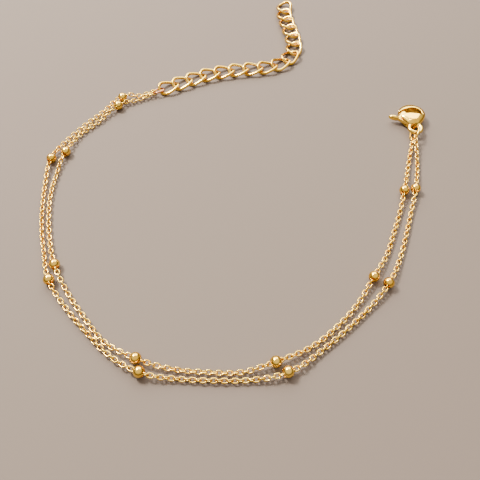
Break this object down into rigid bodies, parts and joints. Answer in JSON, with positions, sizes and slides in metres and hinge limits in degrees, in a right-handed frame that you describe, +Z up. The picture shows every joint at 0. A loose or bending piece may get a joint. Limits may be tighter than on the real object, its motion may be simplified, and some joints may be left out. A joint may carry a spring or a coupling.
{
  "type": "beaded chain bracelet",
  "caption": "Fine double-strand chain bracelet with small round beads spaced along it, a lobster clasp and a curb-link extender, lying unfastened in an open loop.",
  "frame": {"origin": "middle of the bracelet's footprint as it lies open, on the surface it rests on", "axes": "+Z up from the surface, +Y from the closed bottom of the loop towards the extender's free end, +X towards the clasp"},
  "size_m": [0.0803, 0.1042, 0.0026],
  "materials": {
    "yellow_gold_plate": "polished yellow-gold plating",
    "rose_gold_plate": "polished plating of a paler, pinker gold"
  },
  "bodies": {
    "bracelet": {"strand_outer": "yellow_gold_plate", "strand_inner": "yellow_gold_plate", "bead_outer_1": "yellow_gold_plate", "bead_outer_2": "yellow_gold_plate", "bead_outer_3": "yellow_gold_plate", "bead_outer_4": "yellow_gold_plate", "bead_outer_5": "yellow_gold_plate", "bead_outer_6": "yellow_gold_plate", "bead_outer_7": "yellow_gold_plate", "bead_inner_1": "yellow_gold_plate", "bead_inner_2": "yellow_gold_plate", "bead_inner_3": "yellow_gold_plate", "bead_inner_4": "yellow_gold_plate", "bead_inner_5": "yellow_gold_plate", "bead_inner_6": "yellow_gold_plate", "bead_inner_7": "yellow_gold_plate", "extender_ring": "rose_gold_plate", "extender_link_01": "yellow_gold_plate", "extender_link_02": "yellow_gold_plate", "extender_link_03": "yellow_gold_plate", "extender_link_04": "yellow_gold_plate", "extender_link_05": "yellow_gold_plate", "extender_link_06": "yellow_gold_plate", "extender_link_07": "yellow_gold_plate", "extender_link_08": "yellow_gold_plate", "extender_link_09": "yellow_gold_plate", "extender_link_10": "yellow_gold_plate", "extender_link_11": "yellow_gold_plate", "extender_link_12": "yellow_gold_plate", "extender_link_13": "yellow_gold_plate", "extender_link_14": "yellow_gold_plate", "extender_link_15": "yellow_gold_plate", "extender_link_16": "yellow_gold_plate", "clasp_ring": "yellow_gold_plate", "clasp_body": "yellow_gold_plate", "clasp_pin": "yellow_gold_plate"},
    "lever": {"clasp_lever": "yellow_gold_plate"}
  },
  "joints": [
    {"name": "lever_swing", "type": "hinge", "parent": "bracelet", "child": "lever", "pos_m": [0.0363, 0.0061, 0.00125], "axis": [0, 0, -1], "range_deg": [0, 15], "stiffness_Nm_per_rad": 0.0002, "springref_deg": -11.46}
  ]
}
